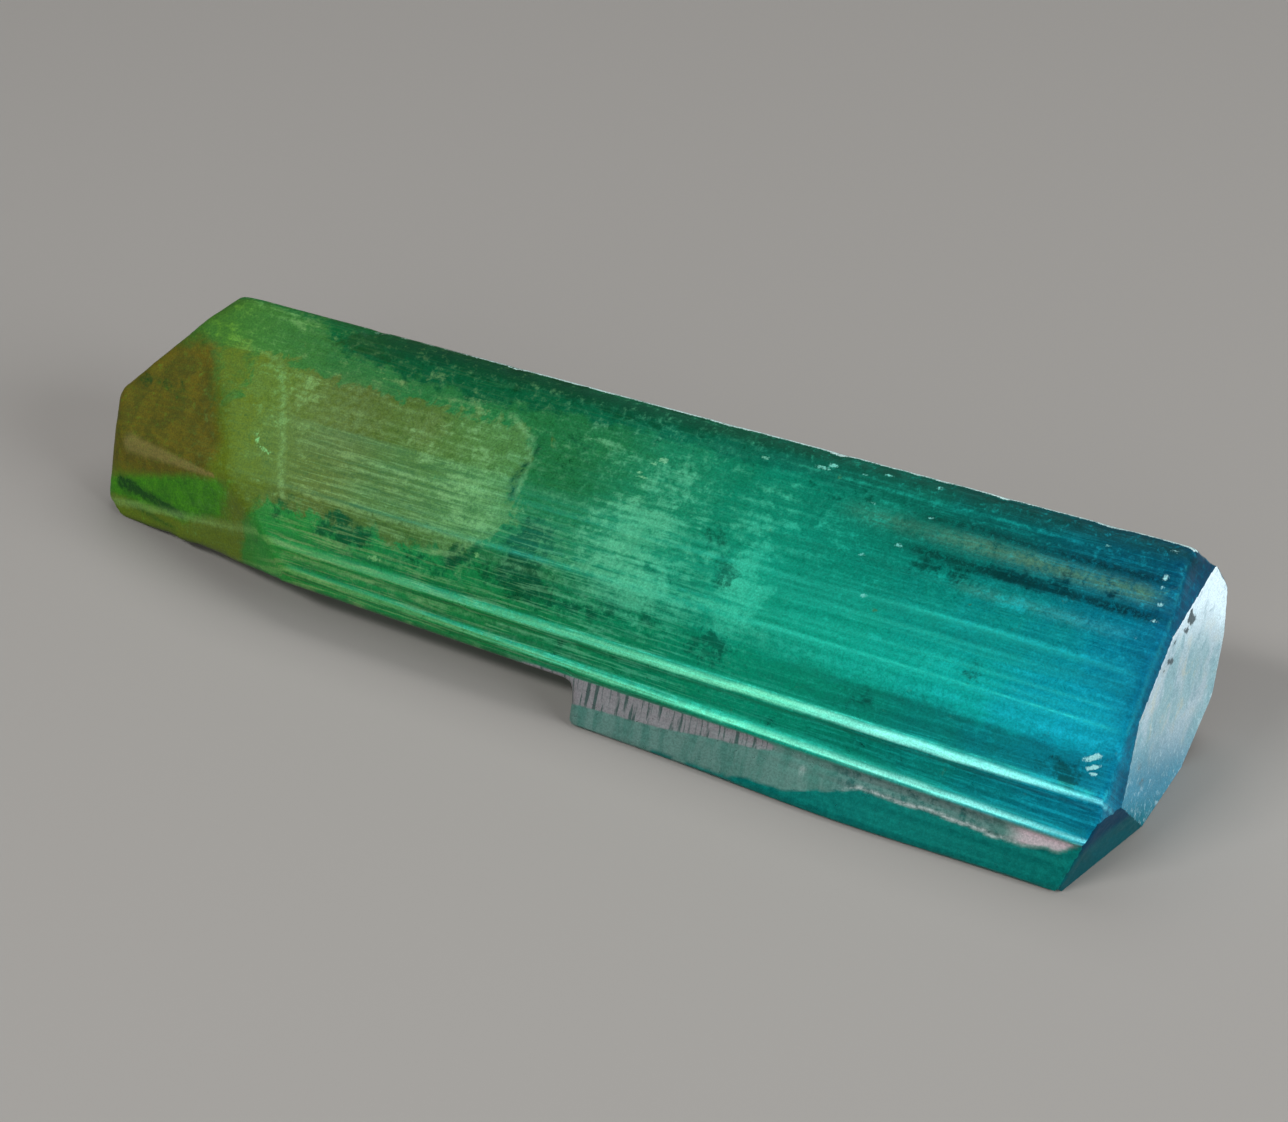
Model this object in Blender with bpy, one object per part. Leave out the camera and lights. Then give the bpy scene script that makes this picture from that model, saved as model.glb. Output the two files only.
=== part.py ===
"""A tourmaline crystal lying on one long face.

The crystal is one solid: a prism of rounded, striated section. +X runs along it to
the broken blue end, -X to the faceted brown and green end, and +Z is up. The surface
it lies on is z = 0, and the origin is the middle of its box, at that surface.
"""

import math

import bmesh
import bpy
import numpy as np

NAME = "crystal"
MM = 0.001

# Driving dimensions, in millimetres.
BLUE_X = 22.5  # where the prism meets each end
BROWN_X = -24.0
OVERRUN = 1.5  # the raw prism runs this far past each end before it is cut
STATIONS_EACH_HALF = 14

# The prism's section, from the front of the base up the front, over the crown and
# down the back. Each row is a corner: its name, its (y, z) at the blue end and at the
# brown end, its radius, and how many striations lie on the face that follows it.
CORNERS = (
    ("base_front", (-5.65, 0.00), (-5.35, 0.00), 0.25, 3),
    ("under_rib", (-5.00, 1.60), (-4.65, 1.80), 0.20, 0),
    ("low_rib", (-4.75, 2.05), (-4.45, 2.38), 0.25, 2),
    ("high_rib", (-4.12, 3.52), (-4.10, 2.87), 0.30, 4),
    ("shoulder", (-2.95, 5.75), (-2.85, 4.75), 0.80, 4),
    ("front_rise", (-0.60, 7.55), (-0.60, 6.50), 0.90, 8),
    ("crown", (3.45, 10.00), (3.45, 8.98), 0.90, 7),
    ("back_high", (6.65, 6.30), (6.30, 5.80), 0.90, 4),
    ("back_middle", (6.95, 4.00), (6.60, 3.70), 1.20, 4),
    ("back_low", (6.40, 1.50), (6.05, 1.40), 0.80, 5),
    ("base_back", (3.60, 0.00), (3.40, 0.00), 0.30, 0),
)
ARC_STEPS = 2  # segments on each rounded corner
RIBS = ("low_rib", "high_rib")

# A striation is one groove and one crest, and its height changes along the crystal.
STRIATION_HEIGHT = 0.05
STRIATION_WAVE = 9.0
RIB_HEIGHT = 0.16  # the two ribs stand this far out
SEED = 11

# The front of the base is broken off the brown half: past the break, the base starts
# this far back, and the broken face slopes up from it to the low rib.
BROKEN_BASE_Y = -1.9
BREAK_START = 0.4
BREAK_END = 1.2

# The whole half's base swells forward here.
SWELL = 0.35
SWELL_X = 12.5
SWELL_REACH = 5.5

# The faces that end the crystal: a point on each, and its outward direction.
CUTS = (
    ("blue_end", (22.50, 3.5, 9.7), (1.0, 0.0, 0.0)),
    ("blue_top", (22.50, 3.1, 8.14), (0.960, -0.041, 0.277)),
    ("blue_edge", (22.50, 0.0, 7.33), (0.930, -0.210, 0.304)),
    ("blue_side", (22.50, -2.6, 4.2), (0.975, -0.210, 0.060)),
    ("blue_low_chip", (22.50, -3.14, 2.75), (0.949, -0.226, -0.220)),
    ("brown_face", (-19.40, 0.9, 7.5), (-0.283, -0.701, 0.655)),
    ("green_face", (-17.38, -2.73, 4.48), (-0.281, -0.943, 0.177)),
    ("top_face", (-20.00, 3.4, 8.50), (-0.721, 0.072, 0.688)),
    ("top_chip", (-19.70, 3.6, 8.63), (-0.400, -0.050, 0.915)),
    ("tip_front", (-23.60, -0.33, 4.37), (-0.846, -0.505, 0.169)),
    ("tip", (-24.10, 0.0, 3.0), (-1.0, 0.10, -0.05)),
    ("tip_low_chip", (-23.44, -1.55, 0.24), (-0.600, -0.420, -0.680)),
    ("back_face", (-21.50, 6.0, 4.0), (-0.80, 0.58, 0.10)),
)

BODY_COLOUR = (0.01, 0.30, 0.22, 1.0)
ROUGHNESS = 0.16
TOURMALINE_IOR = 1.63
CLEARNESS = 0.6  # the share of light that passes into the crystal


def clear_scene():
    for thing in list(bpy.data.objects):
        bpy.data.objects.remove(thing, do_unlink=True)


def smooth_step(share):
    """0 to 1 with level ends, for a share that may run past them."""
    share = min(max(share, 0.0), 1.0)
    return share * share * (3 - 2 * share)


def corners_at(x):
    """The section's sharp corners at x, as (y, z) rows in the order of CORNERS."""
    share = (BLUE_X - x) / (BLUE_X - BROWN_X)
    found = np.array([np.array(blue) * (1 - share) + np.array(brown) * share
                      for _, blue, brown, _, _ in CORNERS])
    found[0, 0] -= SWELL * math.exp(-((x - SWELL_X) / SWELL_REACH) ** 2)
    whole = smooth_step((x - BREAK_START) / (BREAK_END - BREAK_START))
    found[0, 0] = BROKEN_BASE_Y * (1 - whole) + found[0, 0] * whole
    return found


def arc_of(corners, index, radius):
    """Where a corner's rounding starts and ends, on the faces either side of it."""
    here = corners[index]
    sides = (corners[index - 1] - here, corners[(index + 1) % len(corners)] - here)
    lengths = [np.linalg.norm(side) for side in sides]
    units = [side / length for side, length in zip(sides, lengths)]
    half_angle = math.acos(max(-1.0, min(1.0, float(units[0] @ units[1])))) / 2
    reaches = [min(radius / math.tan(half_angle), 0.4 * length) for length in lengths]
    return here + units[0] * reaches[0], here + units[1] * reaches[1]


def outline_at(x):
    """The smooth section at x, and how far each point may move for a striation:
    -1 in a groove, 1 on a crest, 0 where it stays."""
    corners = corners_at(x)
    arcs = [arc_of(corners, i, row[3]) for i, row in enumerate(CORNERS)]
    points, crests = [], []
    for i, (_, _, _, _, striations) in enumerate(CORNERS):
        start, end = arcs[i]
        for k in range(ARC_STEPS + 1):
            t = k / ARC_STEPS
            points.append((1 - t) ** 2 * start + 2 * t * (1 - t) * corners[i] + t * t * end)
            crests.append(0.0)
        following = arcs[(i + 1) % len(arcs)][0]
        for k in range(1, 2 * striations):
            t = k / (2 * striations)
            points.append(end * (1 - t) + following * t)
            crests.append(1.0 if k % 2 else -1.0)
    return np.array(points), np.array(crests)


def outward_of(points):
    along = np.roll(points, -1, axis=0) - np.roll(points, 1, axis=0)
    outward = np.stack([-along[:, 1], along[:, 0]], axis=1)
    return outward / np.linalg.norm(outward, axis=1)[:, None]


def rib_points():
    """The points of the outline that are the tops of the two ribs."""
    per_corner = [ARC_STEPS + 1 + max(2 * row[4] - 1, 0) for row in CORNERS]
    starts = np.concatenate([[0], np.cumsum(per_corner)[:-1]])
    names = [row[0] for row in CORNERS]
    return [int(starts[names.index(rib)]) + ARC_STEPS // 2 for rib in RIBS]


def stations():
    """The x of each section: evenly along each half, with none inside the break."""
    return np.concatenate([
        np.linspace(BROWN_X - OVERRUN, BREAK_START, STATIONS_EACH_HALF),
        np.linspace(BREAK_END, BLUE_X + OVERRUN, STATIONS_EACH_HALF),
    ])


def rows_of_points():
    """The striated section at every station, from the brown end to the blue."""
    random = np.random.default_rng(SEED)
    count = len(outline_at(0.0)[0])
    heights = random.uniform(0.35, 1.0, count)
    phases = random.uniform(0.0, 2 * math.pi, count)
    rows = []
    for x in stations():
        points, crests = outline_at(x)
        wave = 0.75 + 0.25 * np.sin(2 * math.pi * x / STRIATION_WAVE + phases)
        out = STRIATION_HEIGHT * crests * heights * wave
        out[rib_points()] += RIB_HEIGHT
        points = points + outward_of(points) * out[:, None]
        rows.append([(x, y, z) for y, z in points])
    return rows


def prism():
    """The raw prism, closed at both ends."""
    bm = bmesh.new()
    rows = [[bm.verts.new(point) for point in row] for row in rows_of_points()]
    count = len(rows[0])
    for low, high in zip(rows, rows[1:]):
        for k in range(count):
            after = (k + 1) % count
            bm.faces.new((low[k], low[after], high[after], high[k]))
    bm.faces.new(rows[0])
    bm.faces.new(rows[-1][::-1])
    bmesh.ops.recalc_face_normals(bm, faces=bm.faces)
    return bm


def cut(bm, point, outward):
    """Takes away what lies past a plane, and closes the crystal with a flat face."""
    everything = list(bm.verts) + list(bm.edges) + list(bm.faces)
    made = bmesh.ops.bisect_plane(bm, geom=everything, dist=1e-5, plane_co=point,
                                  plane_no=outward, clear_outer=True)
    rim = [item for item in made["geom_cut"] if isinstance(item, bmesh.types.BMEdge)]
    bmesh.ops.contextual_create(bm, geom=rim)


def seat(bm):
    """Moves the crystal so that the middle of its box is over the origin."""
    places = np.array([vertex.co for vertex in bm.verts])
    middle = (places.min(axis=0) + places.max(axis=0)) / 2
    bmesh.ops.translate(bm, verts=bm.verts, vec=(-middle[0], -middle[1], -places[:, 2].min()))


def crystal_material():
    material = bpy.data.materials.new("tourmaline")
    material.use_nodes = True
    shader = material.node_tree.nodes["Principled BSDF"]
    shader.inputs["Base Color"].default_value = BODY_COLOUR
    shader.inputs["Roughness"].default_value = ROUGHNESS
    shader.inputs["Metallic"].default_value = 0.0
    shader.inputs["IOR"].default_value = TOURMALINE_IOR
    shader.inputs["Transmission Weight"].default_value = CLEARNESS
    return material


def build_crystal():
    bm = prism()
    for _, point, outward in CUTS:
        cut(bm, point, outward)
    seat(bm)
    bmesh.ops.scale(bm, vec=(MM, MM, MM), verts=bm.verts)
    mesh = bpy.data.meshes.new(NAME)
    bm.to_mesh(mesh)
    bm.free()
    mesh.materials.append(crystal_material())
    crystal = bpy.data.objects.new(NAME, mesh)
    bpy.context.collection.objects.link(crystal)
    return crystal


clear_scene()
build_crystal()
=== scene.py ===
"""The looks of the tourmaline crystal: its fine surface, its colours, and a small studio.

The crystal's own sizes are in millimetres, in the frame that its section is drawn in:
x runs along it, y from front to back, and z up from the surface it lies on. One height
on its front is w, which runs up the front from the base's edge to the crown.
"""

import math

import bmesh
import bpy
import numpy as np
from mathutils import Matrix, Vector
from mathutils.geometry import delaunay_2d_cdt
from numpy.linalg import norm


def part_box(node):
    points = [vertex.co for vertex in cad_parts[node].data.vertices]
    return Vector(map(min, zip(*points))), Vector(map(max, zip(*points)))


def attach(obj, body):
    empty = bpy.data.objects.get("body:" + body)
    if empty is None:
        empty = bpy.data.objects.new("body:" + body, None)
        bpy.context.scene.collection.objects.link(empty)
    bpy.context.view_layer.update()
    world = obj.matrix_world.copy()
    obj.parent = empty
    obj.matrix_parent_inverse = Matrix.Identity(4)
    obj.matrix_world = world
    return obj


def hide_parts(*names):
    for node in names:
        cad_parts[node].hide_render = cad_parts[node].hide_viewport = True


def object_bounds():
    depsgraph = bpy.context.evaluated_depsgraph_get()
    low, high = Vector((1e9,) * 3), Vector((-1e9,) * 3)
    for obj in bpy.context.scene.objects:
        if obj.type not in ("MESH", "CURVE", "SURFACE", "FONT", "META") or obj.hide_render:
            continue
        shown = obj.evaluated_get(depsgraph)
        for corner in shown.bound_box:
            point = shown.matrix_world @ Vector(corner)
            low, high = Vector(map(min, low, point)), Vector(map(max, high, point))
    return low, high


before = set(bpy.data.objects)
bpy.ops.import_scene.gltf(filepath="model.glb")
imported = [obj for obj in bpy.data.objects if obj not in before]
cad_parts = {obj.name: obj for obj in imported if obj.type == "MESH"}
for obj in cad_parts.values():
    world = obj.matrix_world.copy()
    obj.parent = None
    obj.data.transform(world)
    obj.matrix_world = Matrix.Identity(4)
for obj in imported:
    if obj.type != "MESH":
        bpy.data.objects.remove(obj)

cad_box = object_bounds()

MM = 0.001  # in metres
DRAWN_X = -0.81  # the drawn frame's x and y where the seated one has 0, in mm
DRAWN_Y = 0.585

# The prism, as the solid has it.
BLUE_X = 22.5
BROWN_X = -24.0
LENGTH = BLUE_X - BROWN_X
OVERRUN = 1.5  # the raw prism runs this far past each end before it is cut
REFERENCE_X = 8.0  # the section here sets how many points each face gets

# Each corner: its name, its (y, z) at the blue end and at the brown end, its radius,
# and how far apart points lie on its arc and on the face that follows it.
CORNERS = (
    ("base_front", (-5.65, 0.0), (-5.35, 0.0), 0.25, 0.1, 0.07),
    ("under_rib", (-5.0, 1.6), (-4.65, 1.8), 0.2, 0.06, 0.06),
    ("low_rib", (-4.75, 2.05), (-4.45, 2.38), 0.25, 0.05, 0.055),
    ("high_rib", (-4.12, 3.52), (-4.1, 2.87), 0.3, 0.05, 0.06),
    ("shoulder", (-2.95, 5.75), (-2.85, 4.75), 0.8, 0.06, 0.06),
    ("front_rise", (-0.6, 7.55), (-0.6, 6.5), 0.9, 0.06, 0.06),
    ("crown", (3.45, 10.0), (3.45, 8.98), 0.9, 0.07, 0.1),
    ("back_high", (6.65, 6.3), (6.3, 5.8), 0.9, 0.1, 0.12),
    ("back_middle", (6.95, 4.0), (6.6, 3.7), 1.2, 0.12, 0.12),
    ("back_low", (6.4, 1.5), (6.05, 1.4), 0.8, 0.12, 0.12),
    ("base_back", (3.6, 0.0), (3.4, 0.0), 0.3, 0.12, 0.6),
)
NAMES = [row[0] for row in CORNERS]
ARC_SHARE = 0.4  # the most of a face that a corner's rounding may take
BROKEN_BASE_Y = -1.9  # the base's front edge under the brown half, past the break
BREAK_START = 0.4
BREAK_END = 1.2
SWELL = 0.35  # the base swells forward by this much at SWELL_X
SWELL_X = 12.5
SWELL_REACH = 5.5
STATION_STEP = 0.19
BREAK_STATIONS = 9  # sections across the step of the break

# The faces that end the crystal: a point on each, its outward direction, how rough its
# break or growth left it, and how many times its rim is smoothed.
CUTS = (
    ("blue_end", (22.5, 3.5, 9.7), (1.0, 0.0, 0.0), 0.1, 2),
    ("blue_top", (22.5, 3.1, 8.14), (0.96, -0.041, 0.277), 0.05, 14),
    ("blue_edge", (22.5, 0.0, 7.33), (0.93, -0.21, 0.304), 0.05, 14),
    ("blue_side", (22.5, -2.6, 4.2), (0.975, -0.21, 0.06), 0.05, 14),
    ("blue_low_chip", (22.5, -3.14, 2.75), (0.949, -0.226, -0.22), 0.1, 14),
    ("brown_face", (-19.4, 0.9, 7.5), (-0.283, -0.701, 0.655), 0.06, 14),
    ("green_face", (-17.38, -2.73, 4.48), (-0.281, -0.943, 0.177), 0.05, 14),
    ("top_face", (-20.0, 3.4, 8.5), (-0.721, 0.072, 0.688), 0.08, 14),
    ("top_chip", (-19.7, 3.6, 8.63), (-0.4, -0.05, 0.915), 0.04, 14),
    ("tip_front", (-23.6, -0.33, 4.37), (-0.846, -0.505, 0.169), 0.06, 14),
    ("tip", (-24.1, 0.0, 3.0), (-1.0, 0.1, -0.05), 0.12, 14),
    ("tip_low_chip", (-23.44, -1.55, 0.24), (-0.6, -0.42, -0.68), 0.05, 14),
    ("back_face", (-21.5, 6.0, 4.0), (-0.8, 0.58, 0.1), 0.1, 8),
)
BLUE_END = 1  # the numbers of some of these faces
BEVELS = (2, 3, 4, 5)  # the narrow faces between the blue end and the front
LOW_CHIP = 5
END_SHADE_FROM = 19.0  # the painted shade before the blue end, and its lit back rim, lie past here
CAP_GRID = 0.15  # spacing of the points on the end faces
CAP_JITTER = 0.3  # how far each point strays, in spacings
CAP_MARGIN = 0.6  # how near the rim a point may lie, in spacings

# The rims of the end faces are rounded, and what lies on the ground stays flat.
SHARP_EDGE = 0.5  # radians between two faces
SPREAD_OF_WEAR = 4  # how many points away from a rim the rounding reaches
SHARP_ANGLE = 35.0  # degrees between two faces, above which the shading breaks
BASE_HEIGHT = 0.02  # what is lower than this is on the ground
BASE_WORN_FROM = -21.0  # past here the brown tip's underside is rounded too

# Growth lines: pitch round the prism, run along it, height, and a seed.
STRIATIONS = (
    (0.95, 34.0, 0.008, 1),
    (0.42, 16.0, 0.009, 2),
    (0.19, 14.0, 0.006, 3),
)
TERRACE_HEIGHT = 0.008
CALM_X = (-5.0, 7.0)  # growth lines and the painted highlights on the ribs' tops grow to full between these
CALM_STRIATIONS = 0.3  # how strong they are on the brown side of that
RIBS = ("low_rib", "high_rib")
RIB_HEIGHT = 0.16
RIB_PROFILE = ((-0.34, -0.22, -0.16, 0.24, 0.34), (0.0, 0.9, 1.0, 0.1, 0.0))
BREAK_ROUGHNESS = 0.28
CROWN_WEAR = 0.03
CROWN_CHIPS = (  # x, depth, length
    (-12.9, 0.16, 0.3), (-6.4, 0.06, 0.3), (3.1, 0.05, 0.5), (7.9, 0.07, 0.35), (14.6, 0.05, 0.3),
    (18.8, 0.06, 0.45),
)

# w is a height on the front, in mm, from a place's y and z.
W_FROM_Y = 0.76
W_FROM_Z = 0.65

# Seen from the front, a mm of y reaches this far across and up, and a mm of z up.
ACROSS_FROM_Y = 0.486
UP_FROM_Y = 0.489
UP_FROM_Z = 0.829


def smooth(share):
    """0 to 1 with level ends, for shares that may run past them."""
    share = np.clip(share, 0.0, 1.0)
    return share * share * (3 - 2 * share)


def step(value, start, end):
    """0 before start, 1 after end, and smooth between them. It may run downwards."""
    return smooth((value - start) / (end - start))


NOISE_CELLS = 128  # the noise repeats after this many whole steps


def soft_noise(u, v, seed):
    """Smooth noise from 0 to 1, with one random value for each whole u and v."""
    grid = np.random.default_rng(seed).random((NOISE_CELLS, NOISE_CELLS))
    u0, v0 = np.floor(u).astype(int), np.floor(v).astype(int)
    across, up = smooth(u - u0), smooth(v - v0)
    u1, v1 = (u0 + 1) % NOISE_CELLS, (v0 + 1) % NOISE_CELLS
    u0, v0 = u0 % NOISE_CELLS, v0 % NOISE_CELLS
    low = grid[u0, v0] * (1 - across) + grid[u1, v0] * across
    high = grid[u0, v1] * (1 - across) + grid[u1, v1] * across
    return low * (1 - up) + high * up


def cloud(u, v, seed):
    """Noise from 0 to 1 with three sizes of detail."""
    total = 0.57 * soft_noise(u, v, seed)
    total = total + 0.28 * soft_noise(2.1 * u, 2.1 * v, seed + 50)
    return total + 0.15 * soft_noise(4.3 * u, 4.3 * v, seed + 90)


def paint(mesh, name, values, domain="POINT"):
    """Keeps one number for each vertex or face on the mesh."""
    layer = mesh.attributes.new(name, "FLOAT", domain)
    layer.data.foreach_set("value", values.astype(np.float32))


# ---- the prism ----

def corners_at(x):
    """The section's sharp corners at each x: an array of station, corner, (y, z)."""
    share = ((BLUE_X - x) / LENGTH)[:, None, None]
    blue = np.array([row[1] for row in CORNERS])
    brown = np.array([row[2] for row in CORNERS])
    found = blue * (1 - share) + brown * share
    found[:, 0, 0] -= SWELL * np.exp(-((x - SWELL_X) / SWELL_REACH) ** 2)
    whole = step(x, BREAK_START, BREAK_END)
    found[:, 0, 0] = BROKEN_BASE_Y * (1 - whole) + found[:, 0, 0] * whole
    return found


def arcs_of(corners):
    """Where each corner's rounding starts and ends, on the faces either side of it."""
    sides = [np.roll(corners, turn, axis=1) - corners for turn in (1, -1)]
    lengths = [norm(side, axis=2) for side in sides]
    cosine = (sides[0] * sides[1]).sum(axis=2) / (lengths[0] * lengths[1])
    half_angle = np.arccos(np.clip(cosine, -1, 1)) / 2
    reach = np.array([row[3] for row in CORNERS]) / np.tan(half_angle)
    return [corners + side * np.minimum(reach / length, ARC_SHARE)[:, :, None]
            for side, length in zip(sides, lengths)]


class Ring:
    """The columns of points round the prism: each one's corner, whether it is on its arc
    or on the face that follows, how far along that it is, and how far round the section
    it is, in mm from the base's front edge."""

    def __init__(self):
        starts, ends = (row[0] for row in arcs_of(corners_at(np.array([REFERENCE_X]))))
        columns = []
        for i, (_, _, _, _, arc_spacing, face_spacing) in enumerate(CORNERS):
            count = max(3, round(norm(ends[i] - starts[i]) / arc_spacing))
            columns += [(i, True, k / count) for k in range(count + 1)]
            face = norm(starts[(i + 1) % len(CORNERS)] - ends[i])
            count = max(1, round(face / face_spacing))
            columns += [(i, False, k / count) for k in range(1, count)]
        self.corner, self.on_arc, self.along = (np.array(part) for part in zip(*columns))
        self.section = self.sections(np.array([REFERENCE_X]))[0]
        steps = norm(np.roll(self.section, -1, axis=0) - self.section, axis=1)
        self.around = np.concatenate([[0.0], np.cumsum(steps)[:-1]])
        self.crown = self.round_to("crown")
        self.ribs = [self.round_to(name) for name in RIBS]

    def sections(self, x):
        """The smooth section at each x: an array of station, column, (y, z)."""
        corners = corners_at(x)
        starts, ends = arcs_of(corners)
        t = self.along[None, :, None]
        corner, following = self.corner, (self.corner + 1) % len(CORNERS)
        arc = (1 - t) ** 2 * starts[:, corner] + 2 * t * (1 - t) * corners[:, corner]
        arc = arc + t * t * ends[:, corner]
        face = ends[:, corner] * (1 - t) + starts[:, following] * t
        return np.where(self.on_arc[None, :, None], arc, face)

    def round_to(self, name):
        """How far round the middle of a corner's arc is."""
        mine = np.flatnonzero((self.corner == NAMES.index(name)) & self.on_arc)
        return float(self.around[mine[len(mine) // 2]])


def outward_of(places):
    """The direction out of the section at each of its points."""
    along = np.roll(places, -1, axis=1) - np.roll(places, 1, axis=1)
    outward = np.stack([-along[:, :, 1], along[:, :, 0]], axis=2)
    return outward / norm(outward, axis=2)[:, :, None]


def rib_relief(x, ring):
    """The two ribs: each a steep ledge below, and a narrow slope above it."""
    total = np.zeros((len(x), len(ring.around)))
    for k, place in enumerate(ring.ribs):
        profile = np.interp(ring.around - place, *RIB_PROFILE)
        strength = 0.8 + 0.2 * soft_noise(x / 3.0, 0.5, seed=30 + k)
        strength = strength * (0.4 + 0.6 * step(x, -14.0, 2.0))
        total += profile[None, :] * strength[:, None]
    return RIB_HEIGHT * total


def striation_relief(x, ring):
    """Fine growth lines along the prism, and low terraces between them."""
    xs, rounds = x[:, None], ring.around[None, :]
    total = 0
    for pitch, run, height, seed in STRIATIONS:
        wander = 0.12 * soft_noise(xs / 9.0, rounds / 6.0, seed + 10)
        lines = soft_noise((rounds + wander) / pitch, xs / run, seed)
        total = total + height * (1 - 2 * np.abs(2 * lines - 1))
    terraces = soft_noise(rounds / 0.8, xs / 30.0, seed=7)
    total = total + TERRACE_HEIGHT * step(terraces, 0.35, 0.65)
    strength = CALM_STRIATIONS + (1 - CALM_STRIATIONS) * step(x, *CALM_X)
    return (total - TERRACE_HEIGHT) * strength[:, None]


def broken_relief(x, ring):
    """The rough break under the brown half."""
    xs, rounds = x[:, None], ring.around[None, :]
    under = step(rounds, 1.9, 1.5) * step(xs, 1.0, 0.2)
    return BREAK_ROUGHNESS * under * (cloud(xs / 1.1, rounds / 0.7, seed=21) - 0.75)


def crown_relief(x, ring):
    """Small chips along the crown, and the wear between them."""
    near = np.exp(-((ring.around - ring.crown) / 0.35) ** 2)
    chips = sum(depth * np.exp(-((x - place) / length) ** 2) for place, depth, length in CROWN_CHIPS)
    wear = CROWN_WEAR * soft_noise(x / 0.5, 0.5, seed=33)
    return -near[None, :] * (chips + wear)[:, None]


def stations():
    """The x of each section, closer together across the step of the break."""
    return np.concatenate([
        np.arange(BROWN_X - OVERRUN, BREAK_START - 0.1, STATION_STEP),
        np.linspace(BREAK_START, BREAK_END, BREAK_STATIONS),
        np.arange(BREAK_END + 0.2, BLUE_X + OVERRUN, STATION_STEP),
    ])


def prism_points(x, ring):
    """The prism's points with their fine relief: an array of station, column, place."""
    section = ring.sections(x)
    relief = sum(part(x, ring) for part in (striation_relief, rib_relief, crown_relief, broken_relief))
    relief = relief * step(section[:, :, 1], 0.05, 0.5)
    points = np.empty((len(x), len(ring.around), 3))
    points[:, :, 0] = x[:, None]
    points[:, :, 1:] = section + outward_of(section) * relief[:, :, None]
    points[:, :, 2] = np.maximum(points[:, :, 2], 0.0)
    return points


def prism(ring):
    """The whole prism, closed at both ends, as a bmesh."""
    points = prism_points(stations(), ring)
    rows, count, _ = points.shape
    index = np.arange(rows * count).reshape(rows, count)
    after = np.roll(index, -1, axis=1)
    quads = np.stack([index[:-1], after[:-1], after[1:], index[1:]], axis=2).reshape(-1, 4)
    ends = [list(index[0]), list(index[-1][::-1])]
    mesh = bpy.data.meshes.new("prism")
    mesh.from_pydata(points.reshape(-1, 3).tolist(), [], quads.tolist() + ends)
    paint(mesh, "around", np.tile(ring.around, rows))
    bm = bmesh.new()
    bm.from_mesh(mesh)
    bpy.data.meshes.remove(mesh)
    bmesh.ops.recalc_face_normals(bm, faces=bm.faces)
    return bm


# ---- the faces that end it ----

def cut(bm, layer, number, point, outward):
    """Takes away what lies past a plane, and closes the crystal with a face there."""
    everything = list(bm.verts) + list(bm.edges) + list(bm.faces)
    made = bmesh.ops.bisect_plane(bm, geom=everything, dist=1e-5, plane_co=point,
                                  plane_no=outward, clear_outer=True)
    rim = [item for item in made["geom_cut"] if isinstance(item, bmesh.types.BMEdge)]
    for face in bmesh.ops.contextual_create(bm, geom=rim)["faces"]:
        face[layer] = number


def plane_axes(outward):
    """Two directions that lie in a plane, at right angles."""
    side = outward.cross(Vector((0.31, 0.17, 0.93))).normalized()
    return side, outward.cross(side).normalized()


def points_inside(outline, spacing, seed):
    """A jittered grid of points inside a closed outline, none of them close to it."""
    low, high = outline.min(axis=0), outline.max(axis=0)
    u, v = np.meshgrid(np.arange(low[0], high[0], spacing), np.arange(low[1], high[1], spacing))
    points = np.stack([u.ravel(), v.ravel()], axis=1)
    jitter = np.random.default_rng(seed).uniform(-CAP_JITTER, CAP_JITTER, points.shape)
    points += jitter * spacing
    start, end = outline, np.roll(outline, -1, axis=0)
    rise = np.where(end[:, 1] == start[:, 1], 1e-9, end[:, 1] - start[:, 1])
    crossed = (start[:, 1] > points[:, None, 1]) != (end[:, 1] > points[:, None, 1])
    reach = start[:, 0] + (points[:, None, 1] - start[:, 1]) * (end[:, 0] - start[:, 0]) / rise
    inside = (crossed & (points[:, None, 0] < reach)).sum(axis=1) % 2 == 1
    away = norm(points[:, None] - outline[None], axis=2).min(axis=1)
    return points[inside & (away > CAP_MARGIN * spacing)]


def divide_rims(bm, layer):
    """Splits the long edges where two end faces meet, so that they can be rounded."""
    waiting = [edge for edge in bm.edges if all(face[layer] for face in edge.link_faces)]
    while waiting:
        edge = waiting.pop()
        if edge.calc_length() > CAP_GRID:
            half, _ = bmesh.utils.edge_split(edge, edge.verts[0], 0.5)
            waiting += [edge, half]


def refine_cap(bm, layer, number, outward):
    """Swaps an end face for a fine mesh of triangles with the same rim."""
    old = next(face for face in bm.faces if face[layer] == number)
    side, up = plane_axes(outward)
    rim = list(old.verts)
    flat = np.array([(vertex.co.dot(side), vertex.co.dot(up)) for vertex in rim])
    inner = points_inside(flat, CAP_GRID, number)
    level = outward * rim[0].co.dot(outward)
    around = bm.verts.layers.float["around"]
    verts = list(rim)
    for u, v in inner:
        verts.append(bm.verts.new(level + side * float(u) + up * float(v)))
        verts[-1][around] = rim[0][around]
    loop = [(k, (k + 1) % len(rim)) for k in range(len(rim))]
    points = [Vector(point) for point in np.concatenate([flat, inner])]
    made = delaunay_2d_cdt(points, loop, [], 1, 1e-7)
    bm.faces.remove(old)
    for triangle in made[2]:
        face = bm.faces.new([verts[made[3][k][0]] for k in triangle])
        face[layer] = number
        face.normal_update()
        if face.normal.dot(outward) < 0:
            face.normal_flip()


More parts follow.
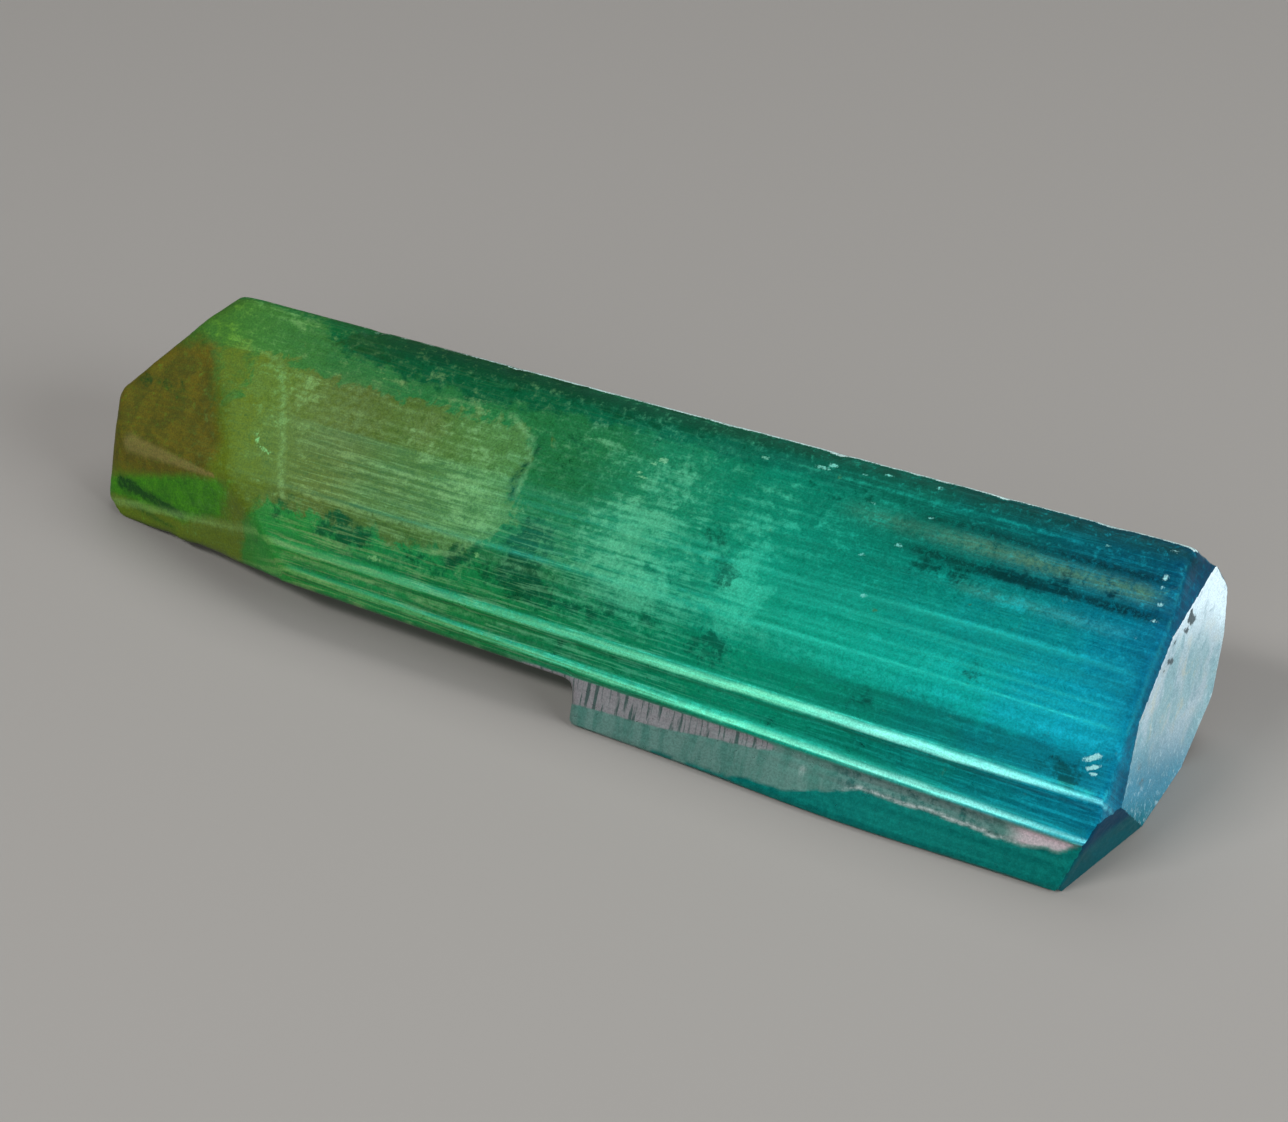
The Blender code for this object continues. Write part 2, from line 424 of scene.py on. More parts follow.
def roughen_cap(bm, layer, number, outward, depth):
    """Gives an end face low hollows, deepest away from its rim."""
    faces = [face for face in bm.faces if face[layer] == number]
    verts = list({vertex for face in faces for vertex in face.verts})
    side, up = plane_axes(outward)
    places = np.array([vertex.co for vertex in verts])
    inner = np.array([all(face[layer] == number for face in vertex.link_faces) for vertex in verts])
    rim = places[~inner]
    u, v = places @ np.array(side), places @ np.array(up)
    away = np.sqrt(((places[:, None, :] - rim[None, :, :]) ** 2).sum(axis=2).min(axis=1))
    hollow = cloud(u / 1.6, v / 1.6, seed=40 + number)
    fine = cloud(u / 0.45, v / 0.45, seed=60 + number)
    sunk = depth * smooth(away / 0.8) * (0.25 + 0.8 * hollow + 0.35 * fine)
    for vertex, amount in zip(verts, sunk):
        vertex.co -= outward * float(amount)


def wear_edges(bm, layer):
    """Rounds the rim of every end face, and leaves the base flat."""
    passes = {number: row[4] for number, row in enumerate(CUTS, start=1)}
    worn = {}
    for edge in bm.edges:
        numbers = {face[layer] for face in edge.link_faces}
        if len(numbers) == 2 or edge.calc_face_angle(0.0) > SHARP_EDGE:
            count = min((passes[number] for number in numbers if number), default=2)
            for vertex in edge.verts:
                worn[vertex] = max(worn.get(vertex, 0), count)
    for _ in range(SPREAD_OF_WEAR):
        for vertex, count in list(worn.items()):
            for edge in vertex.link_edges:
                other = edge.other_vert(vertex)
                if count > 4 and other not in worn:
                    worn[other] = count - 2
    worn = {vertex: count for vertex, count in worn.items()
            if vertex.co.z > BASE_HEIGHT or vertex.co.x < BASE_WORN_FROM}
    for done in range(max(worn.values())):
        now = [vertex for vertex, count in worn.items() if count > done]
        bmesh.ops.smooth_vert(bm, verts=now, factor=0.5, use_axis_x=True, use_axis_y=True,
                              use_axis_z=True)


def lay_around(bm, layer, ring):
    """Gives points inside the end faces the distance round that the front has at their w."""
    height = W_FROM_Y * ring.section[:, 0] + W_FROM_Z * ring.section[:, 1]
    front = ring.around <= ring.crown
    reached = np.maximum.accumulate(height[front])
    measure = bm.verts.layers.float["around"]
    for vertex in bm.verts:
        if all(face[layer] for face in vertex.link_faces):
            w = W_FROM_Y * vertex.co.y + W_FROM_Z * vertex.co.z
            vertex[measure] = float(np.interp(w, reached, ring.around[front]))


def blue_rims(bm, layer):
    """1 for each vertex on the back rim of the blue end, where it catches the light, and
    how far each vertex is from the rim between that end and its bevels."""
    places = np.array([vertex.co for vertex in bm.verts])
    near = np.flatnonzero(places[:, 0] > END_SHADE_FROM)
    pale = np.zeros(len(places))
    front = []
    for index in near:
        numbers = {face[layer] for face in bm.verts[index].link_faces}
        if numbers == {0, BLUE_END} and places[index, 1] > 0:
            pale[index] = 1.0
        if BLUE_END in numbers and numbers & set(BEVELS):
            front.append(index)
    away = np.full(len(places), np.inf)
    for index in near:
        away[index] = norm(places[front] - places[index], axis=1).min()
    return pale, away


def seated_shift(bm):
    """How far the drawn frame lies from the seated one, in mm: their boxes share a middle."""
    low, high = cad_box
    places = np.array([vertex.co for vertex in bm.verts])
    drawn = (places.min(axis=0) + places.max(axis=0)) / 2
    seated = np.array((low + high) / 2) / MM
    return (seated - drawn) * (1, 1, 0)


# ---- what is where on the crystal ----

EDGE = 1.2  # mm over which a zone's mask fades, for the material to break up


def zone(*inside):
    """A zone's mask from how far inside each border a point is: 0.5 on the nearest."""
    return np.clip(0.5 + np.minimum.reduce(inside) / EDGE, 0, 1)


class Spot:
    """Every point of the mesh, with the measures that the colours are laid out by. The
    shapes run on over the back, and paint_masks keeps them to the front."""

    def __init__(self, places, around, ring):
        self.x, self.y, self.z = places.T
        self.around = around
        self.ribs = ring.ribs
        self.past = around - ring.crown
        self.front = step(self.past, 0.75, 0.45)
        self.w = W_FROM_Y * self.y + W_FROM_Z * self.z
        self.u = self.x + 0.9 * (cloud(self.x / 1.3, self.w / 0.9, seed=71) - 0.5)
        self.v = self.w + 0.5 * (cloud(self.x / 1.1, self.w / 0.7, seed=72) - 0.5)

    def at_x(self, border):
        return np.interp(self.x, *border)

    def at_w(self, border):
        return np.interp(self.w, *border)

    def stroke(self, start, end, width, end_width=None):
        """A soft line from start to end, both (x, w)."""
        a, b = np.array(start), np.array(end)
        here = np.stack([self.x, self.w], axis=1)
        share = np.clip(((here - a) @ (b - a)) / ((b - a) @ (b - a)), 0, 1)
        away = norm(here - a - share[:, None] * (b - a), axis=1)
        reach = width + ((end_width or width) - width) * share
        return np.exp(-(away / reach) ** 2)

    def path(self, width, *points):
        """A soft line through several places."""
        return np.max([self.stroke(a, b, width) for a, b in zip(points, points[1:])], axis=0)

    def patch(self, x, w, along, up):
        """A ragged blot, one half at its border."""
        return step(np.hypot((self.u - x) / along, (self.v - w) / up), 1.6, 0.4)

    def fleck(self, x, w, along, up):
        """A small clear-cut spot."""
        return step(np.hypot((self.x - x) / along, (self.w - w) / up), 1.5, 0.5)

    def line(self, start, end, w, width, rise=0.0):
        """A line along the crystal that fades at both ends. rise is how much it climbs."""
        height = self.w - w - rise * (self.x - start) / (end - start)
        height = height + 0.1 * (cloud(self.x / 1.8, 7 * w, seed=82) - 0.5)
        fade = step(self.x, start - 0.6, start + 0.9) * step(self.x, end + 0.6, end - 0.9)
        broken = 0.4 + 0.6 * cloud(self.x / 1.1, 10 * w, seed=81)
        return np.exp(-(height / width) ** 2) * fade * broken

    def total(self, shape, rows):
        """The sum of many shapes, from rows of a strength and a place."""
        return sum(strength * shape(*where) for strength, *where in rows)

    def most(self, shape, rows):
        """The strongest of many shapes."""
        return np.max([strength * shape(*where) for strength, *where in rows], axis=0)


# Borders of the zones: each a row of x, or of w, and what lies at it.
TOP_BORDER = ((-21, -15.5, -13.5, -11, -8, -5, -2, 1, 5, 9, 14, 22),
              (8.5, 8.2, 7.2, 6.9, 6.8, 7.0, 7.3, 7.4, 7.5, 7.5, 7.5, 7.4))
MILK_TOP = ((-19, -16, -13, -10, -7, -5, -3), (6.4, 6.1, 5.8, 5.9, 6.2, 6.3, 6.0))
MILK_BOTTOM = ((-19, -15, -12, -8, -5.5, -4), (0.6, 0.3, 0.45, 0.3, 0.35, 1.4))
UPPER_SHADE = ((1.2, 3.0, 4.5, 5.5, 6.4), (0.0, 0.38, 0.6, 0.78, 1.0))
VEIL = ((0.2, 0.9, 2.3, 3.5, 5.0, 6.5), (-5.5, -4.5, -3.3, -3.8, -3.7, -4.6))
BROWN_RIGHT = ((0.9, 2.1, 2.84, 4.0, 5.2, 6.1), (-17.3, -17.1, -17.8, -18.4, -19.0, -19.5))
LEAF_TOP = ((-23.2, -21.0, -18.5, -16.2), (-0.1, 0.18, 0.5, 0.5))
LEAF_BOTTOM = ((-23.2, -18.7, -16.5), (-0.75, -1.1, -0.75))
SOD_PATCHES = (  # strength, x, w, reach along, reach up
    (0.95, -16.9, 2.2, 1.6, 2.0), (1.0, -15.4, 0.6, 1.2, 1.2), (0.62, -18.0, 4.9, 1.4, 1.9),
)


def body_masks(s):
    """The broad zones of colour, and painted shade higher up the front at the blue half."""
    over_leaf = s.at_x(LEAF_TOP) - s.w
    under_leaf = s.w - s.at_x(LEAF_BOTTOM)
    return {
        "top": zone(s.w - s.at_x(TOP_BORDER)),
        # Painted shade, darker higher up the front towards the blue end.
        "upper_front_shade": s.at_w(UPPER_SHADE) * step(s.x, 2.0, 12.0),
        "low": zone(0.5 - s.w) * step(s.w, -2.5, -2.2),
        "brown": zone(s.at_w(BROWN_RIGHT) - s.x, 5.9 - s.w + 0.1 * (s.x + 20), 2 * (s.w - 0.25)),
        "leaf": zone(2.2 * over_leaf, 2.2 * under_leaf, 0.66 * (-16.1 - s.x)),
        "sod": np.maximum(zone(-15.0 - s.x, 0.9 - s.w), s.most(s.patch, SOD_PATCHES)),
        "milk": zone(s.at_x(MILK_TOP) - s.w, s.w - s.at_x(MILK_BOTTOM), s.at_w(VEIL) - s.x, s.x + 17.2),
    }


# Mottling and flecks: strength, x, w, reach along, reach up. Flecks have one strength.
MOSS = (  # light mottling
    (0.52, 2.3, 5, 2.4, 2.4), (0.52, 6.4, 4.4, 1.3, 2.6), (0.5, 1.4, 2.2, 2.8, 1.9),
    (0.5, 3.5, 1, 2.5, 0.8), (0.55, -18.4, 6.7, 2, 0.7), (0.5, -16.4, 8, 1.4, 0.4),
    (0.34, -14.8, 4, 1.6, 2.2), (0.36, -6.5, 6.2, 2.2, 0.7), (0.32, -11.4, 6.4, 1.6, 0.5),
    (0.42, -6.6, 3.8, 2.6, 1.8), (0.4, -5, 2.2, 1.4, 1.4), (0.45, -1, 6.3, 1.4, 0.5),
    (0.3, 9, 5.8, 1.6, 0.8), (0.3, 10.8, 6.9, 1.2, 0.5), (0.2, -9.4, 7.3, 0.9, 0.3),
    (0.26, 12, 1.6, 6, 1.4), (0.5, -18.9, 8, 1, 0.4), (0.45, 17, 5, 3, 0.3), (0.3, -12, 1.6, 2.5, 1),
    (0.55, 6.8, 2, 1, 1.6),
)
MURK = (  # dark mottling
    (0.85, -10.3, 0.1, 1.3, 0.6), (0.55, -6.6, -0.25, 1.4, 0.35), (0.7, -4.8, 0.4, 0.7, 0.5),
    (0.75, -2.2, 1.6, 1.3, 1.3), (0.6, -1.6, 0, 2.4, 0.5), (0.45, 2.6, 0.1, 1.8, 0.5),
    (0.62, 6.3, 0.1, 1.1, 0.7), (0.85, 5.9, 2.8, 0.6, 0.6), (0.5, 5, 3.8, 0.5, 0.9),
    (0.5, 12.3, 0.1, 1.2, 0.4), (0.45, 16.4, 1.9, 0.4, 0.5), (0.7, 20.5, -0.3, 0.9, 0.5),
    (0.6, -13.2, 0.3, 0.5, 0.6), (0.35, -2.4, 5.6, 1.1, 1.1), (0.85, -12.7, 7.7, 1.6, 0.5),
    (1, -7.5, 8.2, 4, 0.55), (0.85, 0, 8.2, 4, 0.5), (0.7, 7, 8.5, 4, 0.35), (0.4, 3.6, 2, 0.9, 0.5),
    (0.25, 11.5, -1.8, 4, 0.4), (0.35, 0, -1.7, 3, 0.35), (0.35, -21.4, 3.9, 1.6, 0.3),
    (0.6, 16.5, 5.9, 2.2, 0.3), (0.45, 19, 6.2, 2.6, 0.5), (0.5, 13.6, 5.4, 1.6, 0.4),
    (0.35, 9.5, 7.3, 2.5, 0.5),
)
BRIGHT_FLECKS = (
    (7.6, 8, 0.3, 0.08), (8, 8.2, 0.22, 0.07), (11.7, 5.86, 0.16, 0.09), (21.8, 5.8, 0.11, 0.07),
    (21.55, 7.55, 0.12, 0.13), (21.5, 7.1, 0.04, 0.16), (21.7, 6.5, 0.04, 0.14), (5.3, 7.75, 0.14, 0.05),
    (10.1, 7.2, 0.16, 0.06), (12.4, 7.25, 0.12, 0.04), (10.2, 8.45, 0.14, 0.05), (9.3, 8.2, 0.14, 0.04),
    (12.2, 8.5, 0.1, 0.05), (19, 8.1, 0.08, 0.08), (-8.6, -0.55, 0.22, 0.12), (-4.2, 0.72, 0.14, 0.1),
    (1.5, 6.5, 0.2, 0.12), (1.2, 6.25, 0.18, 0.06), (1, 5.6, 0.2, 0.06), (0.8, 5.75, 0.12, 0.05),
    (21.45, 8.6, 0.1, 0.12), (21.3, 5, 0.05, 0.16), (11.3, 3.6, 0.1, 0.08), (10.6, 5.1, 0.12, 0.06),
    (-13, 8.75, 0.24, 0.1),
)
FLECK_STRENGTH = 0.75
# Lines along the crystal: strength, start, end, w, width, and how much each climbs.
LIGHT_LINES = (
    (0.8, 13, 20.5, 3.75, 0.07, 0.05), (0.7, 15, 22, 2.62, 0.06), (0.75, 6.5, 18.5, 7.85, 0.06, 0.1),
    (0.5, 17, 21, 5.05, 0.12), (0.9, -12.5, -4.3, 2.95, 0.09), (0.7, -12, -4.6, 2.55, 0.06, 0.05),
    (0.75, -11, -4.4, 2.15, 0.06), (0.9, -13, -4.4, 0.95, 0.08, 0.1), (0.6, -12, -5, 1.35, 0.06),
    (0.6, -11, -4, 1.75, 0.05), (0.5, -3.5, 6, 3.85, 0.08), (0.6, -3.2, 5, 2.55, 0.06),
    (0.6, -1.5, 6, 1.45, 0.08), (0.5, -2.5, 4, 1.95, 0.06, 0.1), (0.7, -3.9, 3.5, 0.75, 0.1),
    (0.5, -1, 5, 0.25, 0.08), (0.6, 7, 21.5, 1.45, 0.06), (0.8, 9, 22, 0.95, 0.12),
    (0.6, 8, 20, 0.62, 0.07), (0.4, 12, 22, 1.9, 0.05, 0.1), (0.55, 7.5, 22.5, 1.05, 0.4),
    (0.8, 7.4, 9.4, 4.4, 0.12, 0.15), (0.5, -11, -3.5, -0.55, 0.06), (0.5, -0.5, 4, -0.45, 0.06),
    (0.5, -12.8, -3, 4.75, 0.07), (0.5, -11.8, -6, 4.35, 0.05), (0.5, -11, -8.2, 5.5, 0.08, 0.1),
    (0.6, -13, 1, -1.45, 0.08), (0.4, -9, 4, -1.75, 0.05), (0.45, 11, 21, -1.65, 0.05),
    (0.5, -13.2, -3, -2.05, 0.05),
)
DARK_LINES = (
    (1.9, 11.8, 22.4, 5.9, 0.22), (1.7, 11.8, 22.2, 7.3, 0.2, 0.05), (0.5, 13.5, 21, 6.32, 0.05),
    (0.6, -11.5, -4.3, 2.35, 0.05), (0.7, -12, -4.6, 2.75, 0.05), (0.6, -12, -4.6, 1.15, 0.05),
    (0.6, -11, -4.6, 1.95, 0.05), (0.6, -3, 3.5, 0.5, 0.07), (0.5, -2, 2.5, 1.2, 0.06),
    (0.6, 9, 20, 0.35, 0.12), (0.4, 14, 22, 3.15, 0.08), (0.7, -9, 10, 8.25, 0.16, 0.15),
    (0.7, -13.5, -1, -0.75, 0.1), (0.7, -12.5, 2, -1.75, 0.12), (0.4, 3, 20, -1.75, 0.07),
    (0.5, 8, 21.5, -0.25, 0.12),
)
# Cracks: strength, width, and the places that each runs through.
LIGHT_CRACKS = (
    (0.8, 0.1, (-16.3, 6.1), (-15.26, 4.63), (-14.14, 2.43), (-13.3, 0.6)),
    (0.7, 0.12, (-5.4, 6.5), (-4.1, 5.9), (-3.75, 5.0), (-3.7, 3.4)),
    (0.6, 0.1, (-4.6, 1.2), (-5.2, 0.5), (-6.2, 0.3)),
)
DARK_CRACKS = (
    (1.0, 0.1, (-3.75, 5.9), (-3.6, 5.2)),
    (1.3, 0.13, (-3.8, 4.8), (-3.98, 4.0), (-3.75, 3.3)),
    (1.2, 0.12, (-5.3, 0.3), (-4.6, 0.5), (-4.3, 1.0)),
)
# Strokes: strength, start, end, and the width at each or all along.
SCARS = (  # dark, at the brown end
    (2.6, (-22.8, -0.2), (-18.7, -0.98), 0.2, 0.09), (0.8, (-22.3, -0.9), (-19.2, -1.5), 0.12, 0.08),
    (0.7, (-22.2, 4.1), (-19.9, 3.3), 0.08, 0.06),
)
GLINTS = (  # bright slanting strokes low at the blue end
    (1.5, (21.22, 0.34), (21.52, 0.56), 0.075), (1.5, (21.36, 0.08), (21.66, 0.26), 0.06),
    (1.5, (21.42, -0.12), (21.64, 0.0), 0.04),
)
CURL = ((0.55, 0.09, (-15.6, 2.75), (-15.3, 2.35), (-14.7, 2.15)),)  # a small bright crack
OCHRE_PATCHES = ((0.75, -12.4, 4.4, 2.2, 1.5), (0.6, -8.6, 4.9, 1.0, 0.8))


def mark_masks(s):
    """Where mottling, lines, cracks and bright flecks lie, with a painted highlight along an edge at the
    brown tip and painted shade along the front of the crown's edge.
    """
    flecks = FLECK_STRENGTH * np.max([s.fleck(*where) for where in BRIGHT_FLECKS], axis=0)
    ochre = s.line(9.2, 21.8, 6.7, 0.34) * (0.45 + 0.65 * step(s.x, 12.0, 15.0))
    ochre = ochre + 0.4 * s.line(14.5, 21.0, 5.02, 0.22)
    return {
        "light": s.total(s.patch, MOSS),
        "murk": s.total(s.patch, MURK),
        "bright": s.total(s.line, LIGHT_LINES) + s.total(s.path, LIGHT_CRACKS),
        "dark": s.total(s.line, DARK_LINES) + s.total(s.path, DARK_CRACKS) + s.total(s.stroke, SCARS),
        "fleck": np.max([flecks, s.most(s.stroke, GLINTS), s.most(s.path, CURL)], axis=0),
        "ochre": ochre + s.total(s.patch, OCHRE_PATCHES),
        # Painted highlight along the edge between the brown and green faces of the tip.
        "tip_edge_highlight": s.stroke((-22.3, 1.22), (-16.9, 0.64), 0.4, 0.07),
        # Painted shade in a band along the front of the crown's edge, fading in from x -15 to -11.
        "crown_shade": np.exp(-((s.past + 0.34) / 0.46) ** 2) * step(s.x, -15.0, -11.0),
    }


def thread_mask(s):
    """How strongly the striations show as pale and dark threads, front and back."""
    milky = 0.56 * step(s.x, -14.0, -12.5) * step(s.x, -3.0, -4.5) * step(s.w, 5.0, 3.0)
    lower = 0.55 * step(s.x, -4.5, -3.0) * step(s.x, 7.0, 4.0) * step(s.w, 3.2, 2.0)
    clear = 0.15 * step(s.x, 6.0, 9.0)
    ledge = 0.3 * step(s.w, -0.2, -0.6) * step(s.x, -15.0, -13.0)
    return s.front * np.clip(0.12 + milky + lower + clear + ledge, 0, 1) + 0.4 * (1 - s.front)


STRIP_TOP = ((1.0, 4.3, 4.7, 5.6, 5.9, 6.3, 7.6, 10.5, 12.6, 13.2, 20.0, 21.0, 21.9),
             (-4.9, -4.6, -3.98, -4.0, -4.4, -4.0, -3.98, -3.85, -3.25, -3.0, -3.05, -2.95, -2.3))
RIBBED_FOOT = ((0.5, 5.0, 9.5), (-3.35, -3.15, -2.72))


def flank_masks(s):
    """The broken flank under the ribs: smoky above, and a clear teal strip below."""
    flank = step(s.w, -2.36, -2.5) * step(s.past, 0.0, -1.0) * step(s.x, -2.0, -0.5)
    over = s.w - s.at_x(STRIP_TOP) - 0.24 * (cloud(s.x / 0.5, 0.5, seed=91) - 0.5)
    strip = flank * step(over, 0.05, -0.05)
    seam = flank * np.exp(-((over - 0.05) / 0.055) ** 2) * step(s.x, 12.3, 13.2) * step(s.x, 20.6, 18.6)
    crack = flank * np.exp(-((s.x - 10.9 + 0.25 * (s.w + 3)) / 0.06) ** 2) * (1 - strip)
    ribbed = step(s.w - s.at_x(RIBBED_FOOT), -0.15, 0.15) * step(s.x, 10.4, 8.8)
    lens = flank * step(s.x, 18.8, 19.8) * step(s.x, 22.2, 21.6) * step(over, 0.05, 0.15)
    return {
        "flank": flank,
        "strip": strip,
        "seam": np.maximum(seam, 0.5 * crack),
        "ribbed": flank * ribbed * (1 - strip),
        "lens": lens * step(s.w, -2.48, -2.55),
        "speckled": flank * step(s.x, 11.5, 12.8) * step(s.x, 19.4, 18.0),
    }


PITS = (  # grey hollows on the blue end: strength, y, z, reach across and up from the front
    (1, 2.75, 7.25, 0.26, 0.2), (1, 2.55, 7.6, 0.13, 0.2), (0.8, 2.35, 7, 0.16, 0.12),
    (0.8, 1.14, 7.2, 0.1, 0.1), (0.9, 0.93, 6.5, 0.22, 0.11), (0.7, 0.3, 6.5, 0.08, 0.07),
    (0.4, -1.3, 3.3, 0.12, 0.12), (0.42, -0.9, 2.3, 0.24, 0.2),
)


def end_masks(s, lit_end_rim, from_end):
    """The pits of the blue end, painted shade in a band before it, and the pale rims, a painted highlight
    along the worn crown edge and the blue end's back rim.
    """
    pit = np.zeros(len(s.x))
    for strength, y, z, across, up in PITS:
        sideways = ACROSS_FROM_Y * (s.y - y)
        upward = UP_FROM_Y * (s.y - y) + UP_FROM_Z * (s.z - z)
        pit = np.maximum(pit, strength * step(np.hypot(sideways / across, upward / up), 1.5, 0.5))
    # Painted highlight along the crown's worn edge, fainter towards the brown end and broken up by noise.
    rim = step(s.past, 0.0, 0.12) * step(s.past, 0.5, 0.36) * (0.35 + 0.65 * step(s.x, -14.0, -2.0))
    rim = rim * (0.45 + 0.75 * cloud(s.x / 0.5, 0.5, seed=77))
    return {
        "pit": pit * step(s.x, BLUE_X - 0.5, BLUE_X - 0.3),
        "rim": np.maximum(rim, lit_end_rim),
        # Painted shade, fading with the distance from the blue end's front rim.
        "end_shade": np.exp(-(from_end / 0.95) ** 2) * step(s.past, 0.6, 0.0),
    }


RIB_HIGHLIGHT_REACH = ((-0.1, 0.09), (-0.13, 0.15))  # how far below and above each rib's middle the painted highlight reaches


def rib_highlight_mask(s):
    """1 along the top of each rib, where a highlight is painted, fading towards the brown end."""
    total = 0
    taper = 1 - 0.6 * step(s.x, 16.0, 22.4)
    for place, (low, high) in zip(s.ribs, RIB_HIGHLIGHT_REACH):
        past = s.around - place + 0.08 * (cloud(s.x / 0.9, 0.5, seed=93) - 0.5)
        above = step(past, low * taper - 0.04, low * taper + 0.04)
        total = total + above * step(past, high * taper + 0.07, high * taper - 0.07)
    return total * (0.4 + 0.6 * step(s.x, *CALM_X)) * step(s.x, 22.9, 22.4)


# ---- the material ----

def linear(red, green, blue):
    """A colour written as 0 to 255 on a screen, as the shader wants it."""
    parts = [part / 255 for part in (red, green, blue)]
    return tuple(p / 12.92 if p <= 0.04045 else ((p + 0.055) / 1.055) ** 2.4 for p in parts) + (1.0,)


class Shader:
    """Short ways to add nodes to a material."""

    def __init__(self, name):
        self.material = bpy.data.materials.new(name)
        self.material.use_nodes = True
        self.nodes = self.material.node_tree.nodes
        self.masks = {}

    def feed(self, socket, value):
        """Links a socket to a node's output, or gives it a number or a screen colour."""
        if isinstance(value, bpy.types.NodeSocket):
            self.material.node_tree.links.new(value, socket)
        elif isinstance(value, tuple) and len(value) == 3 and socket.type == "RGBA":
            socket.default_value = linear(*value)
        else:
            socket.default_value = value

    def surface(self, name, value):
        self.feed(self.nodes["Principled BSDF"].inputs[name], value)

    def add(self, kind, inputs, **settings):
        """Adds a node, gives it its settings and inputs, and returns its outputs."""
        node = self.nodes.new("ShaderNode" + kind)
        for name, value in settings.items():
            setattr(node, name, value)
        for key, value in inputs.items():
            self.feed(node.inputs[key], value)
        return node.outputs

    def mask(self, name):
        """One of the mesh's painted values."""
        if name not in self.masks:
            self.masks[name] = self.add("Attribute", {}, attribute_name=name)["Fac"]
        return self.masks[name]

    def math(self, operation, *values, clamp=False):
        return self.add("Math", dict(enumerate(values)), operation=operation, use_clamp=clamp)[0]

    def plus(self, first, second):
        return self.math("ADD", first, second)

    def times(self, first, second, clamp=False):
        return self.math("MULTIPLY", first, second, clamp=clamp)

    def scaled(self, value, scale, added):
        return self.math("MULTIPLY_ADD", value, scale, added)

    def mix(self, share, first, second, blend="MIX"):
        inputs = {0: share, 6: first, 7: second}
        return self.add("Mix", inputs, data_type="RGBA", blend_type=blend)[2]

    def noise(self, vector, scale, detail, roughness, distortion=0.0, dimensions="3D"):
        inputs = {"Vector": vector, "Scale": scale, "Detail": detail, "Roughness": roughness,
                  "Distortion": distortion}
        return self.add("TexNoise", inputs, noise_dimensions=dimensions)["Fac"]

    def spread(self, value, low, high, new_low=0.0, new_high=1.0):
        """Stretches low..high to new_low..new_high, smoothly, and holds it there."""
        inputs = dict(enumerate((value, low, high, new_low, new_high)))
        return self.add("MapRange", inputs, interpolation_type="SMOOTHSTEP")[0]

    def between(self, value, low, high, first, second):
        """The first colour where a value is low, and the second where it is high."""
        return self.mix(self.spread(value, low, high), first, second)


# Colours along the crystal: x, and the red, green and blue there.
BODY_COLOURS = (
    (-24, 66, 88, 0), (-19, 56, 100, 26), (-15, 56, 110, 42), (-12, 48, 112, 50), (-4, 34, 112, 56),
    (-1, 30, 112, 62), (1.5, 26, 124, 84), (5, 10, 128, 94), (8, 6, 146, 116), (12, 4, 154, 130),
    (17, 3, 158, 152), (20, 3, 156, 180), (22.5, 3, 144, 176),
)
TOP_COLOURS = (
    (-24, 32, 90, 14), (-19, 26, 102, 36), (-14.5, 12, 88, 34), (-11, 8, 78, 34), (-5, 8, 88, 48),
    (0, 8, 100, 66), (6, 8, 102, 80), (11, 8, 100, 82), (15, 6, 88, 84), (19, 4, 80, 96),
    (22.5, 3, 72, 104),
)
LOW_COLOURS = (
    (-24, 58, 76, 0), (-17, 60, 92, 0), (-13, 42, 132, 44), (-8, 28, 130, 60), (-3, 20, 120, 56),
    (3, 8, 124, 78), (8, 4, 138, 104), (12, 2, 126, 100), (16, 2, 116, 112), (19, 2, 116, 134),
    (22.5, 3, 112, 146),
)
PALE_COLOURS = (
    (-24, 92, 132, 8), (-19.5, 94, 140, 40), (-17, 98, 148, 78), (-12, 126, 156, 90),
    (-5, 112, 164, 104), (1, 92, 182, 136), (6, 62, 182, 146), (10, 30, 178, 152), (15, 18, 182, 172),
    (20, 18, 186, 214), (22.5, 30, 200, 235),
)
DEEP_COLOURS = (
    (-24, 24, 58, 0), (-16, 34, 70, 8), (-10, 8, 64, 22), (-4, 6, 62, 24), (3, 2, 76, 46),
    (10, 2, 76, 58), (15, 2, 44, 44), (22.5, 2, 36, 62),
)
MILK_COLOURS = (
    (-24, 84, 110, 24), (-16, 86, 108, 32), (-12, 86, 98, 26), (-8, 74, 106, 40), (-4, 72, 122, 62),
)
# Painted highlight along the rib tops: x, and the red, green and blue there.
RIB_HIGHLIGHT_COLOURS = (
    (-13, 124, 164, 92), (-3, 92, 164, 104), (4, 100, 196, 150), (9, 116, 220, 178),
    (14, 146, 242, 222), (19, 142, 240, 236), (22.5, 110, 218, 232),
)

# How clear and how rough the crystal is, and how much each mask adds to that.
CLEARNESS = 0.3
CLEARER = {"milk": -0.15, "light": -0.15, "flank": 0.15, "frost": -0.2, "rim": -0.45,
           "dulled": -0.25, "rib_highlight": -0.2}
ROUGHER = {"frost": 0.3, "rib_highlight": -0.04, "dulled": 0.22, "light": 0.16}
TOURMALINE_IOR = 1.63
SPECULAR_LEVEL = 0.25
SPECULAR_TINT = (0.05, 0.8, 0.62, 1.0)
ABSORBED_TINT = (0.5, 0.82, 0.7, 1.0)
ABSORPTION = 100.0  # per metre
GRAIN_HEIGHT = 0.01
GRAIN_STRENGTH = 0.3


